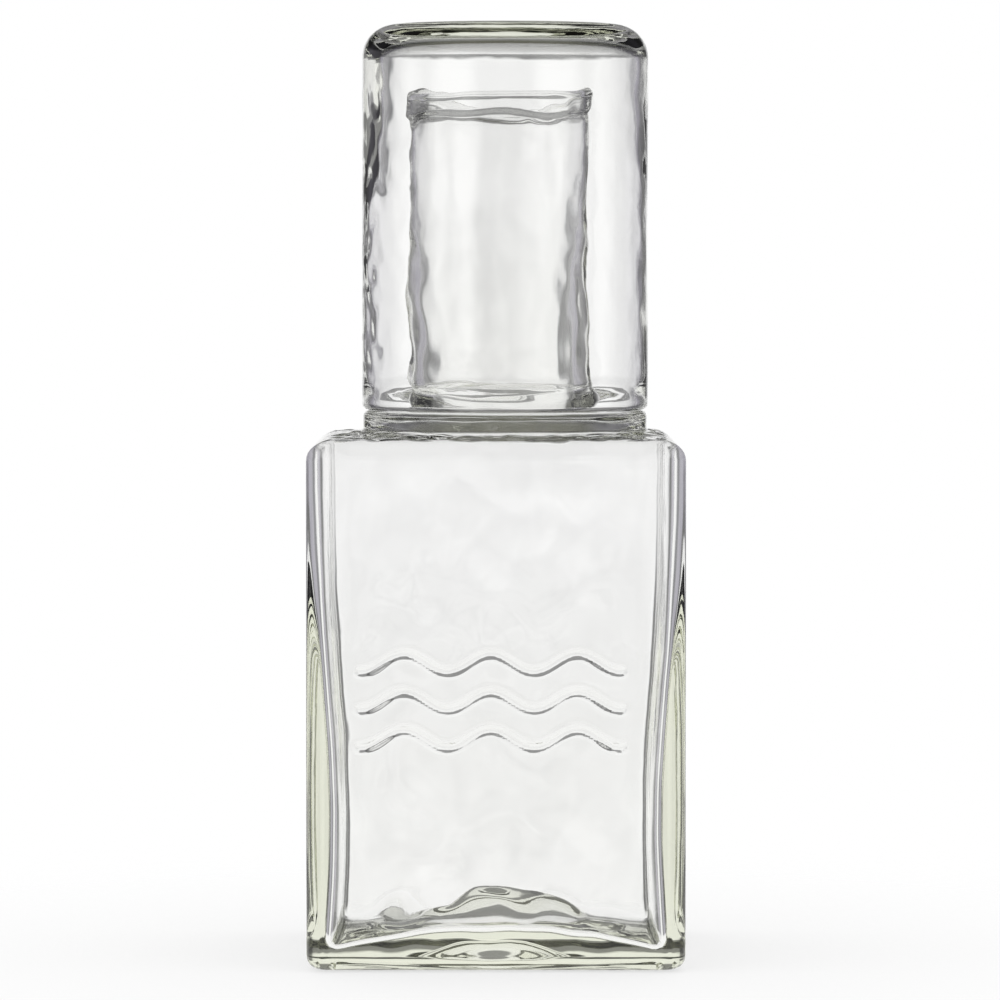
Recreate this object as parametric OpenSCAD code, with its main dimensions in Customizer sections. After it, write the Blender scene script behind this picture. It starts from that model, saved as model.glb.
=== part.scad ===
// Bedside carafe with tumbler: a square bottle of thick clear glass with a round
// neck, and a plain glass tumbler that stands upside down over the neck as its lid.
// The origin is the middle of the base, on the surface that the carafe stands on.

/* [Carafe body] */
// Outside width and depth of the square body
body_w = 90; // [76:1:110]
// Height of the body from the base to the shoulder
body_h = 127; // [105:1:160]
// Radius of the four upright corners, outside
corner_r = 8; // [7:0.5:12]
// Radius of the edge between the walls and the shoulder, outside
shoulder_edge_r = 6; // [3:0.25:6.5]
// Radius of the edge between the walls and the base, outside
base_edge_r = 3.75; // [3:0.25:5]

/* [Carafe walls] */
// Thickness of a side wall just under the shoulder
wall_top = 2.5; // [2:0.25:4]
// Thickness of a side wall just above the base
wall_base = 6; // [4:0.25:8]
// Thickness of the base in its corners
base_t = 3; // [2.5:0.5:6]
// Thickness of the shoulder
shoulder_t = 3; // [2.5:0.25:5]
// Radius of the four upright corners of the hollow, at its top
hollow_corner_r = 8; // [7.5:0.5:12]
// Radius of the edge between the walls and the floor of the hollow
hollow_floor_r = 3.5; // [2:0.25:4.5]
// Radius of the edge between the walls and the ceiling of the hollow
hollow_ceiling_r = 4; // [1.5:0.25:5]

/* [Carafe base] */
// Height of the push-up in the middle of the hollow's floor
kick_h = 12; // [6:0.5:14]
// Radius of the push-up where it runs out into the floor's corners
kick_r = 55; // [54:1:60]
// Depth of the dished recess under the base
punt_h = 4; // [2:0.25:5]
// Radius of the dished recess under the base
punt_r = 20; // [14:1:26]

/* [Carafe seat and neck] */
// Width of the shoulder round the raised seat, at the middle of each side
shoulder_ledge = 10.5; // [8:0.5:13]
// Height of the round seat that the tumbler stands on, above the shoulder
seat_h = 5; // [3:0.5:7]
// Radius of the seat's top edge
seat_edge_r = 1.5; // [1:0.25:2]
// Radius of the fillet between the seat and the shoulder, as far as the shoulder is flat
seat_foot_r = 2.25; // [1.5:0.25:3.5]
// How far the seat's edge stands back from the tumbler's wall
seat_inset = 0.25; // [0:0.05:1]
// How far the seat, neck and tumbler stand to the right of the body's middle, as hand work left them
seat_shift = 2.2; // [0:0.1:3]
// Height of the neck above the seat
neck_h = 76.5; // [60:0.5:85]
// Thickness of the neck's wall under the mouth
neck_wall_mouth = 2; // [1.5:0.1:3]
// Thickness of the neck's wall at its foot
neck_wall_foot = 3.5; // [2.5:0.25:6]
// Radius of the fillet outside the neck's foot
neck_foot_r = 5; // [3:0.5:6]
// Radius of the flare from the neck's bore into the hollow
neck_flare_r = 7; // [5:0.5:10]
// Radius of the rounded bead round the mouth
bead_r = 2.2; // [1.5:0.1:3]
// How far the bead stands out from the neck
bead_out = 0.8; // [0:0.1:1.5]

/* [Tumbler] */
// Free space between the neck and the tumbler's wall
neck_gap = 10; // [7:0.5:11]
// Thickness of the tumbler's wall at the rim
tumbler_wall_rim = 2; // [1.5:0.1:4]
// Thickness of the tumbler's wall near its base
tumbler_wall_base = 3; // [2:0.25:5]
// Thickness of the tumbler's base
tumbler_base_t = 4.5; // [3:0.5:9]
// Radius of the tumbler's edge between wall and base, outside
tumbler_edge_r = 8; // [5:0.5:10]
// Radius of the tumbler's edge between wall and base, inside
tumbler_floor_r = 4; // [3:0.5:9]
// Free height between the carafe's mouth and the tumbler's base
mouth_gap = 12.5; // [6:0.5:18]
// Clearance between the tumbler's rim and the seat
seat_clearance = 0.2; // [0.1:0.05:0.5]

/* [Hidden] */
$fn = 96;

glass_colour = [0.80, 0.88, 0.82, 0.5];
// How far a cut runs past the face that it opens
overrun = 1;

body_half = body_w / 2;
body_flat = body_half - corner_r;
hollow_flat = body_half - wall_top - hollow_corner_r;
hollow_base_r = body_half - wall_base - hollow_flat;
ceiling_z = body_h - shoulder_t;

seat_r = body_half - shoulder_ledge;
seat_z = body_h + seat_h;
seat_fillet_r = max(0, min(seat_foot_r, shoulder_ledge - seat_shift - shoulder_edge_r));
tumbler_r = seat_r + seat_inset;
tumbler_bore_rim = tumbler_r - tumbler_wall_rim;
tumbler_bore_base = tumbler_r - tumbler_wall_base;

neck_r = tumbler_bore_base - neck_gap;
mouth_r = neck_r - neck_wall_mouth;
bore_r = neck_r - neck_wall_foot;
mouth_z = seat_z + neck_h;
bead_z = mouth_z - bead_r;
flare_z = ceiling_z + neck_flare_r;

tumbler_rim_r = tumbler_wall_rim / 2;
tumbler_rim_z = seat_z + seat_clearance;
tumbler_wall_z = tumbler_rim_z + tumbler_rim_r;
tumbler_floor_z = mouth_z + mouth_gap;
tumbler_top_z = tumbler_floor_z + tumbler_base_t;

// Radius of the ball whose cap rises this high over a circle of this radius
function ball_r(cap_r, cap_h) = (cap_r * cap_r + cap_h * cap_h) / (2 * cap_h);

// A quarter of a disc, for a rounded edge
module quarter_disc(r) {
  intersection() {
    circle(r);
    square(2 * r);
  }
}

// Half of a disc, for a fire-polished rim
module half_disc(r) {
  intersection() {
    circle(r);
    translate([-2 * r, 0]) square([4 * r, 2 * r]);
  }
}

// The corner that a fillet of this radius fills
module fillet(r) {
  difference() {
    square(r);
    translate([r, r]) circle(r);
  }
}

// The profile of a wall from the axis outwards, rounded at its foot and its top
module rounded_profile(foot_r, top_r, foot_z, top_z, foot_edge_r, top_edge_r) {
  polygon([
    [0, foot_z], [foot_r - foot_edge_r, foot_z], [foot_r - foot_edge_r, foot_z + foot_edge_r],
    [foot_r, foot_z + foot_edge_r], [top_r, top_z - top_edge_r],
    [top_r - top_edge_r, top_z - top_edge_r], [top_r - top_edge_r, top_z], [0, top_z]
  ]);
  if (foot_edge_r > 0)
    translate([foot_r - foot_edge_r, foot_z + foot_edge_r]) mirror([0, 1]) quarter_disc(foot_edge_r);
  translate([top_r - top_edge_r, top_z - top_edge_r]) quarter_disc(top_edge_r);
}

// A profile spread to a square plan: turned about the axis of each upright corner,
// and run straight along the four walls between them
module square_turned(flat, foot_z, top_z) {
  translate([-flat, -flat, foot_z]) cube([2 * flat, 2 * flat, top_z - foot_z]);
  for (turn = [0 : 90 : 270]) rotate(turn) {
    translate([flat, flat, 0]) rotate_extrude(angle = 90) children();
    translate([flat, flat, 0]) rotate([90, 0, 0]) linear_extrude(height = 2 * flat) children();
  }
}

// The outside of the square body
module body() {
  square_turned(body_flat, 0, body_h)
    rounded_profile(corner_r, corner_r, 0, body_h, base_edge_r, shoulder_edge_r);
}

// The hollow of the body, wider at its top, with the push-up left standing in its floor
module hollow() {
  kick_ball_r = ball_r(kick_r, kick_h);
  difference() {
    square_turned(hollow_flat, base_t, ceiling_z)
      rounded_profile(hollow_base_r, hollow_corner_r, base_t, ceiling_z, hollow_floor_r, hollow_ceiling_r);
    translate([0, 0, base_t + kick_h - kick_ball_r]) sphere(kick_ball_r);
  }
}

// The dished recess under the base
module punt() {
  punt_ball_r = ball_r(punt_r, punt_h);
  translate([0, 0, punt_h - punt_ball_r]) sphere(punt_ball_r);
}

// The round seat, and the neck that rises from it with a fillet at its foot
module seat_and_neck() {
  rotate_extrude() {
    translate([0, ceiling_z]) square([neck_r, bead_z - ceiling_z]);
    rounded_profile(seat_r, seat_r, ceiling_z, seat_z, 0, seat_edge_r);
    if (seat_fillet_r > 0) translate([seat_r, body_h]) fillet(seat_fillet_r);
    translate([neck_r, seat_z]) fillet(neck_foot_r);
  }
}

// The bore of the neck, narrowing from the mouth down to the flare into the hollow
module bore() {
  rotate_extrude() {
    polygon([
      [0, ceiling_z - overrun], [bore_r, ceiling_z - overrun], [bore_r, flare_z],
      [mouth_r, bead_z], [mouth_r, mouth_z + overrun], [0, mouth_z + overrun]
    ]);
    translate([bore_r, ceiling_z]) fillet(neck_flare_r);
  }
}

// The fire-polished bead round the mouth
module bead() {
  rotate_extrude() translate([neck_r + bead_out - bead_r, bead_z]) circle(bead_r);
}

// Moves a round form from the body's middle onto the axis of the seat
module on_seat_axis() {
  translate([seat_shift, 0, 0]) children();
}

module carafe() {
  color(glass_colour) {
    difference() {
      union() {
        body();
        on_seat_axis() seat_and_neck();
      }
      hollow();
      on_seat_axis() bore();
      punt();
    }
    on_seat_axis() bead();
  }
}

module tumbler() {
  color(glass_colour) on_seat_axis() rotate_extrude() {
    difference() {
      rounded_profile(tumbler_r, tumbler_r, tumbler_wall_z, tumbler_top_z, 0, tumbler_edge_r);
      rounded_profile(
        tumbler_bore_rim, tumbler_bore_base, tumbler_wall_z, tumbler_floor_z, 0, tumbler_floor_r
      );
    }
    translate([tumbler_r - tumbler_rim_r, tumbler_wall_z]) mirror([0, 1]) half_disc(tumbler_rim_r);
  }
}

carafe();
tumbler();
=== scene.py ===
# Bedside carafe with tumbler: a square carafe of thick, hand-finished clear glass,
# and a plain tumbler that stands upside down over its neck. All sizes are in metres.
import math

import bpy
import numpy as np
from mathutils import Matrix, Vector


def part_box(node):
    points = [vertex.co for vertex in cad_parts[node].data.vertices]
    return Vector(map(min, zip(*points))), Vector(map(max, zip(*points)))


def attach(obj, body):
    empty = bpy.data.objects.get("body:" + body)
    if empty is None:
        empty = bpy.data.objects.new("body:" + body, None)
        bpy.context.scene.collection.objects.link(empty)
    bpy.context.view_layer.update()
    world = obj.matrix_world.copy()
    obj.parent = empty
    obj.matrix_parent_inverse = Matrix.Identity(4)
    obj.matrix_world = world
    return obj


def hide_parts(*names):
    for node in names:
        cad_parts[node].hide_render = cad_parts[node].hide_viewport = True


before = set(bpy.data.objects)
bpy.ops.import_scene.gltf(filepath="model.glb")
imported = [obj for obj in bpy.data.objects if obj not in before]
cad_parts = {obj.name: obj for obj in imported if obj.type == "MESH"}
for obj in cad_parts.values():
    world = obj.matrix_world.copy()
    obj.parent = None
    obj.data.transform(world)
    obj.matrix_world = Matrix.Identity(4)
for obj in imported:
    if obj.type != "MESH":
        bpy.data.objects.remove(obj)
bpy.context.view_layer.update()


# Carafe
# One piece of clear glass, blown into a square mould: thin at the shoulder, thick low down, and pushed
# up in the middle of its base. A round seat and a wavy neck with a fire-polished bead stand on the
# sloping shoulder, and raised wave lines run across the front.

carafe_low, carafe_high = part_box("carafe")
tumbler_low, tumbler_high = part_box("tumbler")

body_half = (carafe_high[0] - carafe_low[0]) / 2
body_height = 0.127
body_corner_r = 0.0034
top_corner_r = 0.0028
base_edge_r = 0.00375
back_edge_r = 0.0015
shoulder_edge_r = 0.006
shoulder_slope_share = 0.16
shoulder_slope_reach = 0.006
punt_r = 0.020
punt_h = 0.004

seat_shift = (tumbler_low[0] + tumbler_high[0]) / 2
seat_r = 0.0345
seat_z = 0.132
seat_edge_r = 0.0015
seat_foot_r = 0.0008

neck_r = 0.02175
neck_foot_r = 0.005
neck_flare_r = 0.004
neck_wander = -0.0015
neck_wander_rise = 0.008
neck_wall_thin = 0.0011
neck_wall_thick = 0.0044
neck_thick_z = 0.168
neck_thick_spread = 0.026
neck_thick_tilt = 0.006
neck_foot_swell = 0.0010

mouth_z = carafe_high[2]
mouth_wall = 0.0016
mouth_swing = 0.0007
mouth_fade = 0.006
bead_out = 0.0008
bead_z = 0.2045
bead_start_z = 0.2025
bead_edge = 0.0007

wall_thin = 0.0014
wall_thick = 0.0053
wall_thick_z = 0.034
wall_spread_up = 0.044
wall_spread_down = 0.045
pocket_slope = 43
pocket_foot_r = 0.0332
pocket_foot_z = 0.1248
pocket_top_r = 0.0275
pocket_roof_slope = 10
ceiling_edge_z = 0.1256
hollow_corner_r = 0.0045
hollow_ceiling_r = 0.0044
hollow_floor_r = 0.0035
floor_corner_z = 0.003
floor_rise = 0.006
hump_h = 0.0095
hump_r = 0.018
last_ring_r = 0.0015

relief_x = -0.0012
relief_z = 0.0644
relief_half_length = 0.031
relief_half_height = 0.015


def smooth(values, low, high):
    """0 below low, 1 above high, and an even curve between them."""
    share = np.clip((values - low) / (high - low), 0, 1)
    return share * share * (3 - 2 * share)


def ring(flat, rounding, height, angles):
    """The points round a square of this half-width, grown by a rounding, at these angles from its axis."""
    folded = np.abs((angles + np.pi / 4) % (np.pi / 2) - np.pi / 4)
    side = (flat + rounding) / np.cos(folded)
    along = flat * (np.cos(folded) + np.sin(folded))
    corner = along + np.sqrt(np.maximum(along**2 - 2 * flat**2 + rounding**2, 0))
    reach = np.where(side * np.sin(folded) <= flat, side, corner)
    return np.column_stack([reach * np.cos(angles), reach * np.sin(angles), np.full(len(angles), height)])


def straight(start, end, steps):
    """Stations of a section, each a flat, a rounding and a height, from start up to just before end."""
    share = np.arange(steps)[:, None] / steps
    return np.array(start) * (1 - share) + np.array(end) * share


def bend(flat, centre_r, centre_z, radius, start, end, steps):
    """Stations round an arc of the section, from one angle in degrees up to but not including the other."""
    turn = np.radians(start + (end - start) * np.arange(steps) / steps)
    rounding = centre_r + radius * np.cos(turn)
    return np.column_stack([np.full(steps, flat), rounding, centre_z + radius * np.sin(turn)])


def ripple(points, seed, wavelength, waves=28):
    """A smooth random height at each point, about 1 from the mean, from waves of about this length."""
    draw = np.random.default_rng(seed)
    ways = draw.normal(size=(waves, 3))
    ways /= np.linalg.norm(ways, axis=1)[:, None]
    lengths = wavelength * draw.uniform(0.75, 1.6, waves)
    phases = draw.uniform(0, 2 * np.pi, waves)
    turns = points @ (ways * (2 * np.pi / lengths)[:, None]).T + phases
    return np.sin(turns).sum(axis=1) / math.sqrt(waves / 2)


def closed_loft(name, start_pole, rings, end_pole):
    """A closed mesh through rings of points. A ring has as many points as the one before it, or half."""
    firsts = 1 + np.cumsum([0] + [len(points) for points in rings])
    count = len(rings[0])
    faces = [(0, 1 + (k + 1) % count, 1 + k) for k in range(count)]
    for a, b, before, after in zip(firsts.tolist(), firsts.tolist()[1:], rings, rings[1:]):
        n, m = len(before), len(after)
        for k in range(m):
            beyond = (k + 1) % m
            if n == m:
                faces.append((a + k, a + beyond, b + beyond, b + k))
            else:
                faces.append((a + 2 * k, a + 2 * k + 1, a + 2 * beyond, b + beyond, b + k))
    last, end, count = int(firsts[-2]), int(firsts[-1]), len(rings[-1])
    faces += [(last + k, last + (k + 1) % count, end) for k in range(count)]
    mesh = bpy.data.meshes.new(name)
    mesh.from_pydata(np.concatenate([[start_pole], *rings, [end_pole]]).tolist(), [], faces)
    mesh.polygons.foreach_set("use_smooth", [True] * len(mesh.polygons))
    mesh.update()
    piece = bpy.data.objects.new(name, mesh)
    bpy.context.scene.collection.objects.link(piece)
    return piece


def points_and_normals(piece):
    points = np.empty(len(piece.data.vertices) * 3)
    normals = np.empty(len(piece.data.vertices) * 3)
    piece.data.vertices.foreach_get("co", points)
    piece.data.vertex_normals.foreach_get("vector", normals)
    return points.reshape(-1, 3), normals.reshape(-1, 3)


def put_points(piece, points):
    piece.data.vertices.foreach_set("co", points.ravel())
    piece.data.update()


# Columns of points round the carafe, close together over the front for the relief
body_flat = body_half - body_corner_r
side_turn = math.atan2(body_flat, body_half)
front_columns = 132
side_columns = 52
corner_columns = 12


def side_angles(count):
    return np.arctan2(body_flat * (2 * np.arange(count) / count - 1), body_half)


corner_angles = side_turn + (np.pi / 2 - 2 * side_turn) * np.arange(corner_columns) / corner_columns
sides = ((-np.pi / 2, front_columns), (0, side_columns), (np.pi / 2, side_columns), (np.pi, side_columns))
columns = np.concatenate([
    turn + part for turn, count in sides for part in (side_angles(count), corner_angles)
])


def edge_bend(edge_r, centre_z, start, end, steps):
    """Stations round the body's edge at its base or shoulder, where the upright corners get smaller too."""
    turn = np.radians(start + (end - start) * np.arange(steps) / steps)
    half = body_half - edge_r + edge_r * np.cos(turn)
    rounding = np.maximum(half - body_flat, top_corner_r)
    return np.column_stack([half - rounding, rounding, centre_z + edge_r * np.sin(turn)])


# The section of the outside, from the recess under the base up to the mouth
lip_r = mouth_wall / 2
lip_z = mouth_z - lip_r
punt_ball_r = (punt_r**2 + punt_h**2) / (2 * punt_h)
punt_turn = math.degrees(math.asin(punt_r / punt_ball_r))
base_edge = (body_half - base_edge_r - top_corner_r, top_corner_r, 0)
wall_foot = (body_flat, body_corner_r, base_edge_r)
relief_foot = (body_flat, body_corner_r, relief_z - relief_half_height)
relief_head = (body_flat, body_corner_r, relief_z + relief_half_height)
wall_head = (body_flat, body_corner_r, body_height - shoulder_edge_r)
ledge_edge = (body_half - shoulder_edge_r - top_corner_r, top_corner_r, body_height)
seat_foot = (0, seat_r + seat_foot_r, body_height)
outside = np.concatenate([
    bend(0, 0, punt_h - punt_ball_r, punt_ball_r, 90 - punt_turn / 8, 90 - punt_turn, 7),
    straight((0, punt_r, 0), base_edge, 6),
    edge_bend(base_edge_r, base_edge_r, -90, 0, 9),
    straight(wall_foot, relief_foot, 13),
    straight(relief_foot, relief_head, 54),
    straight(relief_head, wall_head, 22),
    edge_bend(shoulder_edge_r, body_height - shoulder_edge_r, 0, 90, 8),
    straight(ledge_edge, seat_foot, 20),
    bend(0, seat_r + seat_foot_r, body_height + seat_foot_r, seat_foot_r, 270, 180, 6),
    straight((0, seat_r, body_height + seat_foot_r), (0, seat_r, seat_z - seat_edge_r), 3),
    bend(0, seat_r - seat_edge_r, seat_z - seat_edge_r, seat_edge_r, 0, 90, 6),
    straight((0, seat_r - seat_edge_r, seat_z), (0, neck_r + neck_foot_r, seat_z), 4),
    bend(0, neck_r + neck_foot_r, seat_z + neck_foot_r, neck_foot_r, 270, 180, 6),
    straight((0, neck_r, seat_z + neck_foot_r), (0, neck_r, bead_start_z), 29),
    straight((0, neck_r, bead_start_z), (0, neck_r, lip_z), 12),
    bend(0, neck_r - lip_r, lip_z, lip_r, 0, 180, 10),
])


def neck_wall(heights, thick_end):
    """How thick the neck's wall is at these heights: thick above its foot, and thin under the mouth."""
    share = smooth(heights, thick_end + neck_thick_spread, thick_end - neck_thick_spread)
    return neck_wall_thin + (neck_wall_thick - neck_wall_thin) * share


def hollow_half(height):
    """Half the hollow's width at a height: the wall is thick low down, thin at the shoulder and the foot."""
    spread = wall_spread_up if height > wall_thick_z else wall_spread_down
    bulge = math.exp(-(((height - wall_thick_z) / spread) ** 2))
    return body_half - wall_thin - (wall_thick - wall_thin) * bulge


# The section of the inside, from the mouth down the bore and the pocket under the seat to the floor
bore_foot_r = neck_r - neck_wall_thick
pocket_top_z = pocket_foot_z + (pocket_foot_r - pocket_top_r) * math.tan(math.radians(pocket_slope))
flare_turn = 90 - pocket_roof_slope
flare_end_r = bore_foot_r + neck_flare_r * (1 - math.cos(math.radians(flare_turn)))
flare_end_z = pocket_top_z + (pocket_top_r - flare_end_r) * math.tan(math.radians(pocket_roof_slope))
flare_z = flare_end_z + neck_flare_r * math.sin(math.radians(flare_turn))
hollow_top_z = ceiling_edge_z - hollow_ceiling_r
hollow_foot_z = floor_corner_z + hollow_floor_r
top_flat = hollow_half(hollow_top_z) - hollow_corner_r
foot_flat = hollow_half(hollow_foot_z) - hollow_corner_r
hollow_heights = np.linspace(hollow_top_z, hollow_foot_z, 48, endpoint=False)
bore_heights = np.linspace(bead_start_z, flare_z, 40, endpoint=False)
ceiling_edge = (top_flat, hollow_corner_r - hollow_ceiling_r, ceiling_edge_z)
floor_edge = (foot_flat, hollow_corner_r - hollow_floor_r, floor_corner_z)
inside = np.concatenate([
    straight((0, neck_r - mouth_wall, lip_z), (0, neck_r - neck_wall_thin, bead_start_z), 10),
    np.array([(0, neck_r - neck_wall(z, neck_thick_z), z) for z in bore_heights]),
    bend(0, bore_foot_r + neck_flare_r, flare_z, neck_flare_r, 180, 180 + flare_turn, 7),
    straight((0, flare_end_r, flare_end_z), (0, pocket_top_r, pocket_top_z), 3),
    straight((0, pocket_top_r, pocket_top_z), (0, pocket_foot_r, pocket_foot_z), 5),
    straight((0, pocket_foot_r, pocket_foot_z), ceiling_edge, 6),
    bend(top_flat, hollow_corner_r - hollow_ceiling_r, hollow_top_z, hollow_ceiling_r, 90, 0, 6),
    np.array([(hollow_half(z) - hollow_corner_r, hollow_corner_r, z) for z in hollow_heights]),
    bend(foot_flat, hollow_corner_r - hollow_floor_r, hollow_foot_z, hollow_floor_r, 0, -90, 6),
    straight(floor_edge, (0, last_ring_r, floor_corner_z), 22),
])


def floor_height(points):
    """How high the hollow's floor stands over its corners: up along each wall, with a hump in the middle."""
    reach = np.hypot(points[:, 0], points[:, 1])
    across = points[:, 0] * points[:, 1] / (foot_flat + hollow_corner_r) ** 2
    return floor_rise * (1 - np.minimum(across**2, 1)) + hump_h * np.exp(-((reach / hump_r) ** 2))


def on_seat_axis(points, flat, flat_of_body):
    """Moves the rings from the shoulder up over to the axis of the seat, as far as they are round."""
    shoulder_share = 0.9
    if points[0, 2] > shoulder_share * body_height:
        points[:, 0] += seat_shift * (1 - min(flat / flat_of_body, 1))
        points[:, 0] += neck_wander * smooth(points[:, 2], seat_z, seat_z + neck_wander_rise)
    return points


def sloped_shoulder(points):
    """Lets the shoulder fall a little from the seat to its edge, as blown glass does."""
    past_seat = np.hypot(points[:, 0] - seat_shift, points[:, 1]) - seat_r - seat_foot_r
    on_shoulder = smooth(points[:, 2], body_height - shoulder_edge_r, body_height)
    points[:, 2] -= shoulder_slope_share * np.clip(past_seat, 0, shoulder_slope_reach) * on_shoulder
    return points


outer_rings = [
    sloped_shoulder(on_seat_axis(ring(*station, columns), station[0], body_flat)) for station in outside
]
inner_rings = []
for station in inside:
    points = on_seat_axis(ring(*station, columns[::2]), station[0], top_flat)
    share = np.clip((hollow_top_z - points[:, 2]) / (hollow_top_z - floor_corner_z), 0, 1)
    points[:, 2] += floor_height(points) * share**3
    inner_rings.append(points)

carafe = closed_loft(
    "carafe_glass", (0, 0, punt_h), outer_rings + inner_rings, (0, 0, floor_corner_z + floor_rise + hump_h)
)
points, normals = points_and_normals(carafe)
is_outer = np.arange(len(points)) < 1 + sum(len(outer) for outer in outer_rings)
heights = points[:, 2]
above_seat = heights - seat_z
turns = np.arctan2(points[:, 1], points[:, 0] - seat_shift)

# The neck: thicker glass just above its foot, more so on the right, and an uneven bead round the mouth.
# Each wave of the bead's edge has a height, a count round the neck and a phase.
bead_waves = ((0.0009, 1, 0.4), (0.0006, 3, 1.0), (0.0004, 7, 0.0))
bore_fade = 0.006
flare_fade = 0.002
foot_swell_start = (0.003, 0.006)
foot_swell_end = (0.018, 0.005)
thick_end = neck_thick_z + neck_thick_tilt * np.cos(turns)
thickening = neck_wall(heights, thick_end) - neck_wall(heights, neck_thick_z)
in_bore = smooth(heights, flare_z - flare_fade, flare_z + bore_fade)
in_bore *= smooth(heights, lip_z, lip_z - bore_fade)
bead_foot = bead_z + sum(size * np.sin(count * turns + phase) for size, count, phase in bead_waves)
bead = bead_out * smooth(heights, bead_foot - bead_edge, bead_foot + bead_edge)
neck_foot = smooth(above_seat, *foot_swell_start) * smooth(above_seat, *foot_swell_end)
neck_foot *= neck_foot_swell
rise = np.where(is_outer, np.where(above_seat > 0, bead + neck_foot, 0), in_bore * thickening - neck_foot)

# How far each surface wanders from its true place, in short waves and long ones, less near the corners
short_wave = 0.010
long_wave = 0.05
body_ripple_outside = 0.00004
neck_ripple_outside = 0.00002
long_ripple_outside = 0.00006
body_ripple_inside = 0.00016
ceiling_ripple_inside = 0.00005
neck_ripple_inside = 0.00002
long_ripple_inside = 0.00010
corner_short_share = 0.12
corner_long_share = 0.2
face_shares = (0.76, 0.54)
seat_calm_share = 0.8
seat_spread = 0.006
foot_fade = 0.006
neck_fade = (0.002, 0.012)
ceiling_fade = (0.010, 0.002)
on_neck = smooth(above_seat, *neck_fade)
on_foot = smooth(heights, 0, foot_fade)
on_seat = np.exp(-((above_seat / seat_spread) ** 2))
on_faces = smooth(np.abs(points[:, 0]) / body_half, *face_shares)
under_ceiling = smooth(ceiling_edge_z - heights, *ceiling_fade)
short_share = corner_short_share + (1 - corner_short_share) * on_faces
long_share = corner_long_share + (1 - corner_long_share) * short_share
outer_depth = body_ripple_outside + (neck_ripple_outside - body_ripple_outside) * on_neck
outer_depth *= on_foot * (1 - seat_calm_share * on_seat) * short_share
inner_depth = body_ripple_inside + (ceiling_ripple_inside - body_ripple_inside) * under_ceiling
inner_depth += (neck_ripple_inside - ceiling_ripple_inside) * on_neck
inner_depth *= short_share
outer_long_depth = long_ripple_outside * long_share * on_foot
inner_long_depth = long_ripple_inside * long_share
rise += np.where(
    is_outer,
    outer_depth * ripple(points, 11, short_wave) + outer_long_depth * ripple(points, 12, long_wave),
    inner_depth * ripple(points, 13, short_wave) + inner_long_depth * ripple(points, 14, long_wave),
)

# The hammered ledge of the shoulder, and the wobble that the neck's two surfaces share
ledge_ripple = 0.00022
ledge_wave = 0.0055
ledge_fade = (0.002, 0.0003)
ledge_start = 0.002
wobble_long = 0.00018
wobble_short = 0.00004
wobble_long_wave = 0.018
wobble_short_wave = 0.006
from_seat = np.hypot(points[:, 0] - seat_shift, points[:, 1]) - seat_r
on_ledge = is_outer * smooth(body_height - heights, *ledge_fade)
on_ledge *= smooth(from_seat, 0, ledge_start) * (heights < body_height + seat_foot_r)
rise += ledge_ripple * on_ledge * ripple(points, 17, ledge_wave)
neck_middle = np.column_stack([neck_r * np.cos(turns), neck_r * np.sin(turns), heights])
neck_wobble = wobble_long * ripple(neck_middle, 15, wobble_long_wave)
neck_wobble += wobble_short * ripple(neck_middle, 16, wobble_short_wave)
neck_wobble *= on_neck
rise += np.where(is_outer, neck_wobble, -neck_wobble)


def wave_relief(points):
    """Three rounded wave lines, raised on the front of the body."""
    pitch = 0.009
    swing = 0.0021
    wave_length = 0.0205
    half_width = 0.0017
    height = 0.0012
    along = points[:, 0] - relief_x
    phase = 2 * np.pi * along / wave_length
    steep = np.cos(np.arctan(swing * 2 * np.pi / wave_length * np.sin(phase)))
    past_end = np.maximum(np.abs(along) - relief_half_length, 0)
    raised = np.zeros(len(points))
    for line in (-1, 0, 1):
        middle = relief_z + line * pitch + swing * np.cos(phase)
        away = np.hypot((points[:, 2] - middle) * steep, past_end)
        rounded = 0.5 + 0.5 * np.cos(np.pi * away / half_width)
        raised = np.maximum(raised, np.where(away < half_width, rounded, 0))
    return height * raised


front_share = 0.9
on_front = is_outer & (points[:, 1] < -front_share * body_half)
rise += np.where(on_front, wave_relief(points), 0)
moved = points + normals * rise[:, None]


def edge_round(edge_r):
    """How far a rounded edge of the base stands back from the wall at each point's height."""
    return edge_r - np.sqrt(np.maximum(edge_r**2 - np.maximum(edge_r - heights, 0) ** 2, 0))


# The back edge of the base is sharper than the front one, and the mouth is not quite level
to_back = smooth(points[:, 1], 0, body_half - base_edge_r)
sharper = (edge_round(base_edge_r) - edge_round(back_edge_r)) * to_back
moved[:, 1] += np.where(is_outer & (heights < base_edge_r), sharper, 0)
mouth_wave = np.sin(2 * turns + 2.2) + 0.6 * np.sin(3 * turns + 0.5)
moved[:, 2] += mouth_swing * smooth(heights, bead_start_z, bead_start_z + mouth_fade) * mouth_wave
put_points(carafe, moved)


def glass_surface_group():
    """The faint swell that fire polishing leaves on glass."""
    group = bpy.data.node_groups.new("glass surface", "ShaderNodeTree")
    group.interface.new_socket("Scale", in_out="INPUT", socket_type="NodeSocketFloat")
    group.interface.new_socket("Height", in_out="OUTPUT", socket_type="NodeSocketFloat")
    nodes, links = group.nodes, group.links
    given = nodes.new("NodeGroupInput")
    made = nodes.new("NodeGroupOutput")
    place = nodes.new("ShaderNodeTexCoord")
    swell = nodes.new("ShaderNodeTexNoise")
    swell.inputs["Detail"].default_value = 2.0
    links.new(place.outputs["Object"], swell.inputs["Vector"])
    links.new(given.outputs["Scale"], swell.inputs["Scale"])
    links.new(swell.outputs["Fac"], made.inputs["Height"])
    return group


glass_surface = glass_surface_group()


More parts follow.
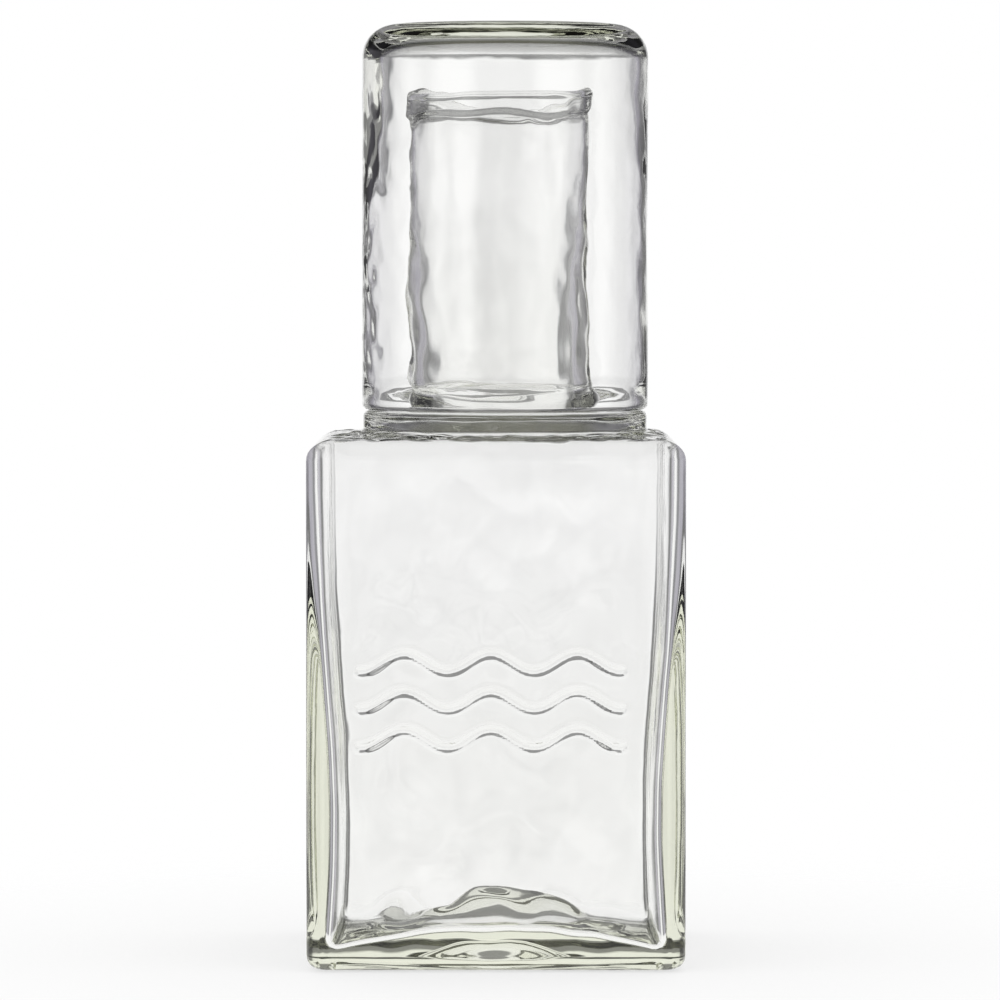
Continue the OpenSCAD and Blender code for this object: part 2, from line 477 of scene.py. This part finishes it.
def clear_glass(name, swell_scale):
    """Clear glass, faintly olive where it is thick."""
    material = bpy.data.materials.new(name)
    material.use_nodes = True
    nodes, links = material.node_tree.nodes, material.node_tree.links
    shader = nodes["Principled BSDF"]
    shader.inputs["Base Color"].default_value = (1, 1, 1, 1)
    shader.inputs["Metallic"].default_value = 0
    shader.inputs["Roughness"].default_value = 0
    shader.inputs["IOR"].default_value = 1.5
    shader.inputs["Transmission Weight"].default_value = 1
    surface = nodes.new("ShaderNodeGroup")
    surface.node_tree = glass_surface
    surface.inputs["Scale"].default_value = swell_scale
    bump = nodes.new("ShaderNodeBump")
    bump.inputs["Strength"].default_value = 0.1
    bump.inputs["Distance"].default_value = 0.0004
    links.new(surface.outputs["Height"], bump.inputs["Height"])
    links.new(bump.outputs["Normal"], shader.inputs["Normal"])
    depth = nodes.new("ShaderNodeVolumeAbsorption")
    depth.inputs["Color"].default_value = (0.78, 0.80, 0.62, 1)
    depth.inputs["Density"].default_value = 10
    links.new(depth.outputs["Volume"], nodes["Material Output"].inputs["Volume"])
    return material


carafe.data.materials.append(clear_glass("carafe glass", 120))
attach(carafe, "carafe")
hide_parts("carafe")


# Tumbler
# A plain round drinking glass, blown and fire-polished, standing on its rim over the neck.
# Its wall is uneven inside, thicker to the left, and runs in a wide curve into its base.

tumbler_r = (tumbler_high[0] - tumbler_low[0]) / 2
tumbler_top = tumbler_high[2]
tumbler_rim_z = tumbler_low[2]
tumbler_edge_r = 0.008
tumbler_rim_wall = 0.0026
tumbler_base_wall = 0.0030
tumbler_base_t = 0.0048
tumbler_floor_r = 0.0038
rim_r = tumbler_rim_wall / 2
tumbler_floor_z = tumbler_top - tumbler_base_t
tumbler_bore_rim = tumbler_r - tumbler_rim_wall
tumbler_bore_base = tumbler_r - tumbler_base_wall
tumbler_floor_flat = tumbler_bore_base - tumbler_floor_r
tumbler_curve_z = tumbler_floor_z - tumbler_floor_r

tumbler_outside = np.concatenate([
    straight((0, last_ring_r, tumbler_top), (0, tumbler_r - tumbler_edge_r, tumbler_top), 12),
    bend(0, tumbler_r - tumbler_edge_r, tumbler_top - tumbler_edge_r, tumbler_edge_r, 90, 0, 16),
    straight((0, tumbler_r, tumbler_top - tumbler_edge_r), (0, tumbler_r, tumbler_rim_z + rim_r), 60),
    bend(0, tumbler_r - rim_r, tumbler_rim_z + rim_r, rim_r, 0, -180, 12),
])
tumbler_inside = np.concatenate([
    straight((0, tumbler_bore_rim, tumbler_rim_z + rim_r), (0, tumbler_bore_base, tumbler_curve_z), 60),
    bend(0, tumbler_floor_flat, tumbler_curve_z, tumbler_floor_r, 0, 90, 16),
    straight((0, tumbler_floor_flat, tumbler_floor_z), (0, last_ring_r, tumbler_floor_z), 16),
])
tumbler_stations = np.concatenate([tumbler_outside, tumbler_inside])
tumbler_columns = -np.linspace(0, 2 * np.pi, 288, endpoint=False)
on_axis = np.array([seat_shift, 0, 0])
tumbler = closed_loft(
    "tumbler_glass",
    (seat_shift, 0, tumbler_top),
    [ring(*station, tumbler_columns) + on_axis for station in tumbler_stations],
    (seat_shift, 0, tumbler_floor_z),
)
points, normals = points_and_normals(tumbler)
is_outer = np.arange(len(points)) < 1 + len(tumbler_outside) * len(tumbler_columns)
heights = points[:, 2]

# The wall thins between rim and base, sags on the left, and wanders in short waves and long ones
wall_waist = 0.0007
waist_rim_fade = (0.002, 0.008)
waist_floor_fade = (0.010, 0.040)
sag = 0.0035
sag_foot = (0.183, 0.188)
rim_fade = (0.003, 0.014)
top_fade = (0.004, 0.020)
tumbler_long_wave = 0.04
long_outside = 0.00004
long_inside = 0.00006
short_outside = 0.00001
short_inside = 0.000015
short_inside_left = 0.00010
short_wave_outside = 0.010
short_wave_inside = 0.006
to_left = np.clip((seat_shift - points[:, 0]) / tumbler_r, 0, 1)
above_rim = heights - tumbler_rim_z
off_rim = smooth(above_rim, *rim_fade)
off_top = smooth(tumbler_top - heights, *top_fade)
off_floor = smooth(tumbler_floor_z - heights, *waist_floor_fade)
outer_ripple = short_outside * ripple(points, 21, short_wave_outside)
outer_ripple += long_outside * ripple(points, 22, tumbler_long_wave)
inner_ripple = short_inside + short_inside_left * to_left**8
inner_ripple *= off_top * ripple(points, 23, short_wave_inside)
inner_ripple += long_inside * ripple(points, 24, tumbler_long_wave)
sagging = sag * to_left**14 * smooth(heights, *sag_foot)
rise = off_rim * np.where(is_outer, off_top * outer_ripple, sagging + inner_ripple)
rise -= np.where(is_outer, 0, wall_waist * smooth(above_rim, *waist_rim_fade) * off_floor)
put_points(tumbler, points + normals * rise[:, None])

tumbler.data.materials.append(clear_glass("tumbler glass", 140))
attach(tumbler, "tumbler")
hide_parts("tumbler")


# Floor
# A pale matt table top under the carafe, which fades into the white room away from it.
# Through the glass it is plain white, and beside the glass it keeps a soft shadow.

floor_reach = 0.6
floor_drop = 0.0003
floor_grey = 0.32
floor_glow = 0.68
floor_glow_in_glass = 0.97
floor_fade_start = 0.10
floor_fade_end = 0.28
floor_mesh = bpy.data.meshes.new("floor")
floor_mesh.from_pydata(
    [(x * floor_reach, y * floor_reach, -floor_drop) for x, y in ((-1, -1), (1, -1), (1, 1), (-1, 1))],
    [],
    [(0, 1, 2, 3)],
)
floor = bpy.data.objects.new("floor", floor_mesh)
bpy.context.scene.collection.objects.link(floor)
floor_paint = bpy.data.materials.new("pale floor")
floor_paint.use_nodes = True
nodes, links = floor_paint.node_tree.nodes, floor_paint.node_tree.links
nodes.clear()
output = nodes.new("ShaderNodeOutputMaterial")
matt = nodes.new("ShaderNodeBsdfDiffuse")
matt.inputs["Color"].default_value = (floor_grey, floor_grey, floor_grey, 1)
glow = nodes.new("ShaderNodeEmission")
glow.inputs["Strength"].default_value = floor_glow
shaded = nodes.new("ShaderNodeAddShader")
links.new(matt.outputs[0], shaded.inputs[0])
links.new(glow.outputs[0], shaded.inputs[1])
white_glow = nodes.new("ShaderNodeEmission")
white_glow.inputs["Strength"].default_value = floor_glow_in_glass
light_path = nodes.new("ShaderNodeLightPath")
lit = nodes.new("ShaderNodeMixShader")
links.new(light_path.outputs["Is Transmission Ray"], lit.inputs["Fac"])
links.new(shaded.outputs[0], lit.inputs[1])
links.new(white_glow.outputs[0], lit.inputs[2])
clear = nodes.new("ShaderNodeBsdfTransparent")
place = nodes.new("ShaderNodeTexCoord")
reach = nodes.new("ShaderNodeVectorMath")
reach.operation = "LENGTH"
links.new(place.outputs["Object"], reach.inputs[0])
fade = nodes.new("ShaderNodeMapRange")
fade.interpolation_type = "SMOOTHSTEP"
fade.inputs["From Min"].default_value = floor_fade_start
fade.inputs["From Max"].default_value = floor_fade_end
links.new(reach.outputs["Value"], fade.inputs["Value"])
mix = nodes.new("ShaderNodeMixShader")
links.new(fade.outputs["Result"], mix.inputs["Fac"])
links.new(lit.outputs[0], mix.inputs[1])
links.new(clear.outputs[0], mix.inputs[2])
links.new(mix.outputs[0], output.inputs["Surface"])
floor_mesh.materials.append(floor_paint)


# Light
# A white room, which the camera sees as plain white. What the glass shows of it is a white backdrop
# with grey and lavender surroundings to each side, dark higher up, and a bright room on the viewer's
# side with a dark place at the camera. They draw the lines along the glass.

world = bpy.data.worlds.new("white room")
bpy.context.scene.world = world
world.use_nodes = True
nodes, links = world.node_tree.nodes, world.node_tree.links
nodes.clear()


def math_node(operation, *values):
    node = nodes.new("ShaderNodeMath")
    node.operation = operation
    for socket, value in zip(node.inputs, values):
        if isinstance(value, bpy.types.NodeSocket):
            links.new(value, socket)
        else:
            socket.default_value = value
    return node.outputs["Value"]


def smooth_node(value, low, high):
    node = nodes.new("ShaderNodeMapRange")
    node.interpolation_type = "SMOOTHSTEP"
    node.inputs["From Min"].default_value = low
    node.inputs["From Max"].default_value = high
    links.new(value, node.inputs["Value"])
    return node.outputs["Result"]


def mix_colour(share, low, high):
    node = nodes.new("ShaderNodeMix")
    node.data_type = "RGBA"
    links.new(share, node.inputs["Factor"])
    for socket, value in ((node.inputs["A"], low), (node.inputs["B"], high)):
        if isinstance(value, bpy.types.NodeSocket):
            links.new(value, socket)
        else:
            socket.default_value = (*value, 1)
    return node.outputs["Result"]


way = nodes.new("ShaderNodeSeparateXYZ")
links.new(nodes.new("ShaderNodeTexCoord").outputs["Generated"], way.inputs["Vector"])
azimuth = math_node("ARCTAN2", way.outputs["X"], way.outputs["Y"])
height = way.outputs["Z"]
white = (1.0, 1.0, 1.0)
above_backdrop = (0.26, 0.26, 0.26)
ceiling = (0.125, 0.125, 0.10)
table = (0.90, 0.90, 0.90)
table_rise_share = 0.65
backdrop_top = (0.13, 0.20)
ceiling_start = (0.55, 0.90)
table_edge = (0.0, -0.09)

# How bright the room is at this many degrees to the side of the backdrop, up to the place of the camera
round_stops = (
    (0, white),
    (8, (0.97, 0.97, 0.97)),
    (13, (0.92, 0.92, 0.92)),
    (16, (0.80, 0.80, 0.80)),
    (18.5, (0.40, 0.40, 0.41)),
    (21, (0.18, 0.18, 0.18)),
    (30, (0.15, 0.15, 0.15)),
    (35, (0.28, 0.27, 0.30)),
    (40, (0.41, 0.40, 0.45)),
    (60, (0.46, 0.45, 0.49)),
    (68, (0.25, 0.25, 0.26)),
    (76, (0.25, 0.25, 0.26)),
    (83, (0.90, 0.90, 0.90)),
    (90, white),
    (97, (0.90, 0.90, 0.90)),
    (104, (0.35, 0.35, 0.35)),
    (112, (0.35, 0.35, 0.35)),
    (120, white),
    (148, white),
    (158, (0.25, 0.25, 0.25)),
    (180, (0.25, 0.25, 0.25)),
)
room = nodes.new("ShaderNodeValToRGB")
links.new(math_node("DIVIDE", math_node("ABSOLUTE", azimuth), math.pi), room.inputs["Fac"])
while len(room.color_ramp.elements) < len(round_stops):
    room.color_ramp.elements.new(0.5)
for element, (degrees, colour) in zip(room.color_ramp.elements, round_stops):
    element.position = degrees / 180
    element.color = (*colour, 1)
dimmed = nodes.new("ShaderNodeMix")
dimmed.data_type = "RGBA"
dimmed.blend_type = "MULTIPLY"
dimmed.inputs["Factor"].default_value = 1
links.new(room.outputs["Color"], dimmed.inputs["A"])
links.new(mix_colour(smooth_node(height, *backdrop_top), white, above_backdrop), dimmed.inputs["B"])
seen = mix_colour(smooth_node(height, *ceiling_start), dimmed.outputs["Result"], ceiling)
to_side = math_node("ABSOLUTE", way.outputs["X"])
over_table = math_node("MULTIPLY_ADD", to_side, table_rise_share, height)
seen = mix_colour(smooth_node(over_table, *table_edge), seen, table)

light_path = nodes.new("ShaderNodeLightPath")
colour = mix_colour(light_path.outputs["Is Glossy Ray"], white, seen)
colour = mix_colour(light_path.outputs["Is Transmission Ray"], colour, seen)
colour = mix_colour(light_path.outputs["Is Camera Ray"], colour, white)
background = nodes.new("ShaderNodeBackground")
links.new(colour, background.inputs["Color"])
world_output = nodes.new("ShaderNodeOutputWorld")
links.new(background.outputs["Background"], world_output.inputs["Surface"])

scene = bpy.context.scene
scene.view_settings.view_transform = "Standard"
scene.cycles.max_bounces = 32
scene.cycles.transmission_bounces = 32
scene.cycles.glossy_bounces = 16
scene.cycles.transparent_max_bounces = 16


# Camera
# A long lens a little above the shoulder, square to the front of the body, and shifted
# a little to the side because the body stands off the middle of the frame.

frame_pixels = 1000
axis_pixel = 496
camera_distance = 1.45
camera_height = 0.172
target_z = 0.110
frame_width = 0.2434
lens = bpy.data.cameras.new("camera")
lens.sensor_width = 36.0
lens.lens = lens.sensor_width * camera_distance / frame_width
lens.shift_x = 0.5 - axis_pixel / frame_pixels
lens.clip_start = 0.05
lens.clip_end = 20.0
camera = bpy.data.objects.new("camera", lens)
camera.location = (0, -camera_distance, camera_height)
camera.rotation_euler = (math.pi / 2 - math.atan2(camera_height - target_z, camera_distance), 0, 0)
scene.collection.objects.link(camera)
scene.camera = camera

bpy.context.view_layer.update()
